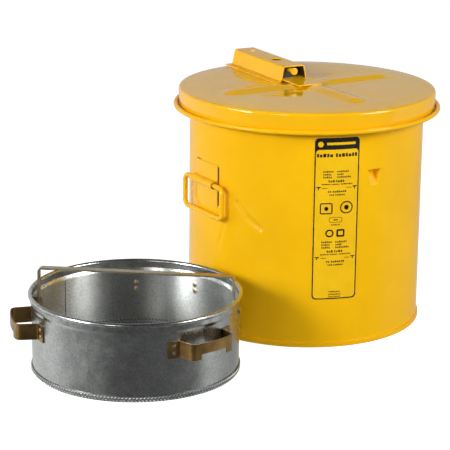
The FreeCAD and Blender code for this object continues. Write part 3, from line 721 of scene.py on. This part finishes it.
uu = np.linspace(-1, 1, 7)
ww = np.linspace(-1, 1, 5)
gu, gw = np.meshgrid(uu, ww, indexing="ij")
lift = np.sqrt(np.clip(1 - gu ** 2, 0, 1)) * np.sqrt(np.clip(1 - 0.96 * gw ** 2, 0, 1))
width = np.sqrt(np.clip(1.02 - gu ** 2, 0.02, 1))
crimps = []
for row, (zc0, lean_deg, phase) in enumerate(((5.35, 38.0, 0.0), (2.15, -38.0, 0.5))):
    ca, sa = math.cos(math.radians(lean_deg)), math.sin(math.radians(lean_deg))
    count = 186
    for k in range(count):
        t0 = 2 * math.pi * (k + phase) / count
        along, across = gu * 2.05, gw * 0.72 * width
        s_ = along * ca - across * sa
        z_ = np.clip(zc0 + along * sa + across * ca, 0.5, 7.2)
        rr = 121.62 + 0.85 * lift
        tt = t0 + s_ / 121.9
        top_v = np.stack([bc[0] + rr * np.sin(tt), bc[1] - rr * np.cos(tt), z_], -1).reshape(-1, 3)
        rim = [(i, 0) for i in range(7)] + [(6, j) for j in range(1, 5)] + [(i, 4) for i in range(5, -1, -1)] + [(0, j) for j in range(3, 0, -1)]
        fs = [(i * 5 + j, (i + 1) * 5 + j, (i + 1) * 5 + j + 1, i * 5 + j + 1) for i in range(6) for j in range(4)]
        fs.append(tuple(i * 5 + j for i, j in reversed(rim)))
        crimps.append((top_v, fs))
v, f = join(crimps)
piece("basket_hem_crimps", v, f, M_LIT_HEM, "basket", (), 60)

# woven wire cloth
pitch, wr, zc = 3.4, 0.44, 3.2
parts = []
K = int(118.9 / pitch)
for along in (0, 1):
    for i in range(-K, K + 1):
        c = i * pitch
        h = math.sqrt(max(0.0, 119.2 ** 2 - c * c))
        if h < 6:
            continue
        m = int(h / pitch)
        s = np.arange(-2 * m, 2 * m + 1) * (pitch / 2)
        k = np.arange(-2 * m, 2 * m + 1)
        wave = np.where(k % 2 == 0, np.where(((k // 2) + i + along) % 2 == 0, 1.0, -1.0), 0.0) * 0.40
        s = np.concatenate([[-h], s, [h]])
        wave = np.concatenate([[0], wave, [0]])
        keep = np.concatenate([[True], np.abs(s[1:-1]) < h - 0.8, [True]])
        s, wave = s[keep], wave[keep]
        p = np.stack([s, np.full_like(s, c), zc + wave], 1) if along == 0 else np.stack([np.full_like(s, c), s, zc + wave], 1)
        p[:, 0] += bc[0]
        p[:, 1] += bc[1]
        parts.append(tube(p, wr, 5))
v, f = join(parts)
piece("basket_wire_cloth", v, f, M_WIRE, "basket", ["basket_screen"], 60)

# lapped side seam with its row of stitch welds
def bk(phi, r, z):
    t = math.radians(phi)
    return np.array([bc[0] + r * math.sin(t), bc[1] - r * math.cos(t), z])


def bk_dir(phi, s=1.0):
    t = math.radians(phi)
    return np.array([math.sin(t) * s, -math.cos(t) * s, 0.0])


v, f = [], []
SEAM_PHI = 194.0
phis = np.linspace(SEAM_PHI - 3.2, SEAM_PHI + 3.2, 9)
for ph in phis:
    for r, z in ((119.0, 4.6), (119.0, 76.8), (119.78, 76.8), (119.78, 4.6)):
        v.append(bk(ph, r, z))
for i in range(len(phis) - 1):
    p, q = 4 * i, 4 * i + 4
    f += [(p, p + 1, q + 1, q), (p + 1, p + 2, q + 2, q + 1), (p + 2, p + 3, q + 3, q + 2), (p + 3, p, q, q + 3)]
n = 4 * (len(phis) - 1)
f += [(3, 2, 1, 0), (n, n + 1, n + 2, n + 3)]
seam = [(np.array(v), f)]
for z in np.arange(9, 75, 4.6):
    seam.append(dome(bk(SEAM_PHI + 0.25 * math.sin(z), 118.98, z), bk_dir(SEAM_PHI, -1), 1.5, 0.45, 3, 12, 0.3))
v, f = join(seam)
piece("basket_lap_seam", v, f, M_INNER, "basket", ["basket_seam_strip"])

# weld nuggets of the strap feet: heat rings inside, dark dimples outside
out_nug, in_tint, in_nug = [], [], []
for phi in (11.0, 131.0, -109.0):
    for da in (-18.4, 18.4):
        for z in (55.5, 63.5):
            out_nug.append(dome(bk(phi + da, BK_R + 1.5, z), bk_dir(phi + da), 2.3, 0.5, 4, 18, 0.15))
            g, zz = phi + da, z
            if phi == 131.0:
                g, zz = (phi + da + 2.2, z) if da > 0 else (phi + da + 2.8, z + 4.0)
            in_tint.append(dome(bk(g, BK_R - BK_T, zz), bk_dir(g, -1), 3.3, 0.30, 3, 20, 0.15))
            in_nug.append(dome(bk(g, BK_R - BK_T - 0.22, zz), bk_dir(g, -1), 1.5, 0.45, 3, 14, 0.10))
v, f = join(out_nug)
piece("strap_weld_nuggets_outside", v, f, M_WELD, "basket", ["strap_spot_welds"])
v, f = join(in_nug)
piece("strap_weld_nuggets_inside", v, f, M_WELD, "basket")
v, f = join(in_tint)
piece("strap_weld_heat_rings", v, f, M_TINT, "basket")

# inner edge of the cloth, crimped against the wall: a band and a row of slanted crimps in the darker zinc copy (painted
# shade)
v, f = revolve(np.array([(118.9, 4.2), (119.78, 4.2), (119.78, 17.6), (119.2, 17.6), (118.9, 17.2)]), np.linspace(0, 2 * np.pi, 360, endpoint=False), bc)
piece("basket_inner_band", v, f, M_INNER, "basket", (), 30)
marks = []
for row, (zc0, lean_deg, phase) in enumerate(((16.1, 42.0, 0.0), (12.3, -42.0, 0.5))):
    ca, sa = math.cos(math.radians(lean_deg)), math.sin(math.radians(lean_deg))
    for k in range(170):
        t0 = 2 * math.pi * (k + phase) / 170
        along, across = gu * 2.0, gw * 0.8 * width
        tt = t0 + (along * ca - across * sa) / 118.9
        rr = 118.98 - 0.7 * lift
        z_ = zc0 + along * sa + across * ca
        top_v = np.stack([bc[0] + rr * np.sin(tt), bc[1] - rr * np.cos(tt), z_], -1).reshape(-1, 3)
        fs = [(i * 5 + j, i * 5 + j + 1, (i + 1) * 5 + j + 1, (i + 1) * 5 + j) for i in range(6) for j in range(4)]
        fs.append(tuple(i * 5 + j for i, j in rim))
        marks.append((top_v, fs))
v, f = join(marks)
piece("basket_inner_crimps", v, f, M_SHADED_HEM, "basket", (), 60)


# ---- painted shadow strips round the handle plates and painted shade inside the lid channel ---
def wall_strip(a0, a1, z0, z1, r0, r1, n=6):
    """Thin curved block on the tank wall; angles in degrees from +X, counter-clockwise."""
    v, f = [], []
    for a in np.radians(np.linspace(a0, a1, n)):
        c, q = math.cos(a), math.sin(a)
        v += [(r1 * c, r1 * q, z0), (r1 * c, r1 * q, z1), (r0 * c, r0 * q, z1), (r0 * c, r0 * q, z0)]
    for i in range(n - 1):
        p, q = 4 * i, 4 * i + 4
        f += [(p, q, q + 1, p + 1), (p + 1, q + 1, q + 2, p + 2), (p + 2, q + 2, q + 3, p + 3), (p + 3, q + 3, q, p)]
    f += [(0, 1, 2, 3), (4 * n - 1, 4 * n - 2, 4 * n - 3, 4 * n - 4)]
    return v, f


HALF_A = math.degrees(math.asin(25.5 / 145.75))
# dark strips along the plate edges: painted shadow
shadow_strips = []
for turn_deg in (181.0, 5.0):
    for sgn in (-1, 1):
        e = turn_deg + sgn * (HALF_A + 0.17)
        shadow_strips.append(wall_strip(e - 0.24, e + 0.24, 163.0, 210.8, 144.9, 146.2, 3))
        e0, e1 = turn_deg + sgn * 5.0, turn_deg + sgn * (HALF_A - 1.4)
    shadow_strips.append(wall_strip(turn_deg - HALF_A + 1.2, turn_deg - HALF_A + 5.2, 212.9, 213.45, 144.9, 146.3, 8))
    # painted shadow: dark ring round the rod in each tunnel mouth
    ca, sa = math.cos(math.radians(turn_deg)), math.sin(math.radians(turn_deg))
    for sgn in (-1, 1):
        vs, fs = [], []
        m = 28
        for yy in (24.5 - 1.55, 24.5 - 1.0):
            for rr_ in (3.12, 4.08):
                for k in range(m):
                    q = 2 * math.pi * k / m
                    lx, ly, lz_ = 148.7 + rr_ * math.cos(q), sgn * yy, 188.5 + rr_ * math.sin(q)
                    vs.append((lx * ca - ly * sa, lx * sa + ly * ca, lz_))
        for k in range(m):
            k2 = (k + 1) % m
            quads = [(2 * m + k, 3 * m + k, 3 * m + k2, 2 * m + k2), (k, k2, m + k2, m + k),
                     (m + k, m + k2, 3 * m + k2, 3 * m + k), (k, 2 * m + k, 2 * m + k2, k2)]
            fs += quads if sgn < 0 else [tuple(reversed(q4)) for q4 in quads]
        shadow_strips.append((vs, fs))
v, f = join(shadow_strips)
piece("handle_plate_painted_shadows", v, f, M_SHADOW_GAP, "tank")

# dark liner inside the channel's walls and roof: painted shade
mid = rounded([(-17.9, 294.15), (-14.15, 312.75), (14.15, 312.75), (17.9, 294.15)], [0, 3.2, 3.2, 0], step=12)
outer_l, inner_l = offset(mid, -0.80), offset(mid, -0.98)
mid[0] = mid[0]
loop = np.vstack([outer_l, inner_l[::-1]])
m = len(loop)
v, f = [], []
for yy in (23.4, 59.0):
    for q in loop:
        lx, ly = q[0], yy - 120.0
        ca, sa = math.cos(math.radians(-2.8)), math.sin(math.radians(-2.8))
        v.append((lx * ca - ly * sa, lx * sa + ly * ca + 120.0, max(q[1], 295.0)))
for i in range(m):
    j = (i + 1) % m
    f.append((i, j, m + j, m + i))
h = len(outer_l)
for i in range(h - 1):
    f.append((i + 1, i, m - 1 - i, m - 2 - i))
    f.append((m + i, m + i + 1, 2 * m - 2 - i, 2 * m - 1 - i))
piece("lid_channel_painted_shade", v, f, M_CHANNEL_SHADE, "lid", (), 40)

# ---- floor, light, camera -----------------------------------------------------------
me = bpy.data.meshes.new("studio_floor")
me.from_pydata([(-14, -14, 0), (14, -14, 0), (14, 14, 0), (-14, 14, 0)], [], [(0, 1, 2, 3)])
floor = bpy.data.objects.new("studio_floor", me)
scene.collection.objects.link(floor)
fm = Mat("studio_floor")
fm.set(Base_Color=fm.ramp(fm.noise(0.6, 2.0, 0.5), [(0.3, (0.86, 0.86, 0.86)), (0.7, (0.88, 0.88, 0.88))]), Roughness=0.6)
fm.b.inputs["Specular IOR Level"].default_value = 0.15
fm.b.inputs["Emission Color"].default_value = (1, 1, 1, 1)
fm.b.inputs["Emission Strength"].default_value = 0.74
me.materials.append(fm.m)
floor.visible_glossy = False
floor.visible_diffuse = False

# studio: a bright cyclorama behind and at both sides, a dim room in front, dim ceiling
world = bpy.data.worlds.new("studio")
scene.world = world
world.use_nodes = True
wt = world.node_tree
bg = wt.nodes["Background"]
tc = wt.nodes.new("ShaderNodeTexCoord")


def wdot(vec):
    x = wt.nodes.new("ShaderNodeVectorMath")
    x.operation = "DOT_PRODUCT"
    wt.links.new(tc.outputs["Generated"], x.inputs[0])
    x.inputs[1].default_value = vec
    return x.outputs["Value"]


def wramp(fac, stops):
    x = wt.nodes.new("ShaderNodeMapRange")
    x.interpolation_type = "SMOOTHSTEP"
    for k, q in zip(("From Min", "From Max", "To Min", "To Max"), stops):
        x.inputs[k].default_value = q
    wt.links.new(fac, x.inputs["Value"])
    return x.outputs["Result"]


FRONT = math.radians(33.0)
ahead = wdot((-math.sin(FRONT), -math.cos(FRONT), 0.0))
across = wdot((math.cos(FRONT), -math.sin(FRONT), 0.0))
at = wt.nodes.new("ShaderNodeMath")
at.operation = "ARCTAN2"
wt.links.new(across, at.inputs[0])
wt.links.new(ahead, at.inputs[1])
unit = wt.nodes.new("ShaderNodeMapRange")
for k, q in zip(("From Min", "From Max", "To Min", "To Max"), (-math.pi, math.pi, 0.0, 1.0)):
    unit.inputs[k].default_value = q
wt.links.new(at.outputs[0], unit.inputs["Value"])
room = wt.nodes.new("ShaderNodeValToRGB")
stops = [(-180, 0.58), (-148, 0.80), (-100, 0.94), (-87, 0.70), (-76, 0.42), (-64, 0.34), (-45, 0.22), (-28, 0.15), (-8, 0.095), (12, 0.10),
         (55, 0.14), (68, 0.18), (79, 0.26), (89, 0.78), (104, 0.66), (120, 0.46), (142, 0.38), (180, 0.58)]
el = room.color_ramp.elements
while len(el) < len(stops):
    el.new(0.5)
for e, (deg, c) in zip(el, stops):
    e.position = (deg + 180.0) / 360.0
for e, (deg, c) in zip(el, stops):
    e.color = (c, c, c, 1.0)
wt.links.new(unit.outputs["Result"], room.inputs["Fac"])
roof = wramp(wdot((0.0, 0.0, 1.0)), (0.34, 0.60, 1.0, 0.24))
mul = wt.nodes.new("ShaderNodeMath")
mul.operation = "MULTIPLY"
wt.links.new(room.outputs["Color"], mul.inputs[0])
wt.links.new(roof, mul.inputs[1])
wt.links.new(mul.outputs[0], bg.inputs["Color"])
bg.inputs["Strength"].default_value = 1.0


def softbox(name, az, el, dist, w, h, power, glossy=True, target=(-0.08, 0.0, 0.14)):
    """Area light at azimuth az (0 in front, positive to the right) and height el, in degrees."""
    a, e = math.radians(az), math.radians(el)
    d = Vector((math.sin(a) * math.cos(e), -math.cos(a) * math.cos(e), math.sin(e)))
    li = bpy.data.lights.new(name, "AREA")
    li.shape = "RECTANGLE"
    li.size, li.size_y = w, h
    li.energy = power
    o = bpy.data.objects.new(name, li)
    scene.collection.objects.link(o)
    o.location = Vector(target) + d * dist
    o.rotation_mode = "QUATERNION"
    o.rotation_quaternion = (-d).to_track_quat("-Z", "Y")
    o.visible_glossy = glossy
    return o


softbox("key_left", -72, 20, 2.6, 0.55, 0.55, 36.5, False)
wide = softbox("wide_left", -93, 21, 2.6, 1.05, 1.0, 34)
softbox("key_right", 33, 23, 2.6, 1.1, 1.0, 38)
softbox("front_fill", -20, 18, 2.8, 2.2, 1.2, 22, False)
softbox("left_fill", -108, 18, 2.7, 1.4, 1.2, 15, False)
spark_b = softbox("spark_right", 51, 44, 2.6, 0.2, 0.2, 4.5)
spark = softbox("spark_front", -54, 17, 2.6, 0.5, 0.45, 5.5)
sheen = softbox("sheen_left", -85, 9, 2.6, 0.45, 0.7, 39)
for glint in (spark, spark_b, sheen, wide):
    glint.visible_diffuse = False

C, D, H = -5.146390748661507, 2295.218062798595, 770.5320258089948
YAW, PITCH, ROLL, FOCAL = -0.04122992221516703, 0.2800703592769955, 0.01034842466035774, 1885.4264659262417
fw = Vector((math.sin(YAW) * math.cos(PITCH), math.cos(YAW) * math.cos(PITCH), -math.sin(PITCH)))
r0 = Vector((math.cos(YAW), -math.sin(YAW), 0.0))
u0 = r0.cross(fw)
right = r0 * math.cos(ROLL) + u0 * math.sin(ROLL)
up = u0 * math.cos(ROLL) - r0 * math.sin(ROLL)
turn = Matrix.Rotation(math.radians(-33.0), 3, "Z")
rows = [turn @ right, turn @ up, turn @ (-fw)]
m = Matrix.Identity(4)
for k in range(3):
    for j in range(3):
        m[j][k] = rows[k][j]
loc = turn @ Vector((C, -D, H)) * MM
for j in range(3):
    m[j][3] = loc[j]
cd = bpy.data.cameras.new("camera")
cd.sensor_fit = "HORIZONTAL"
cd.sensor_width = 36.0
cd.lens = FOCAL / 450.0 * 36.0
cd.clip_start, cd.clip_end = 0.05, 60.0
cam = bpy.data.objects.new("camera", cd)
scene.collection.objects.link(cam)
cam.matrix_world = m
scene.camera = cam
scene.view_settings.view_transform = "Standard"
scene.view_settings.look = "None"
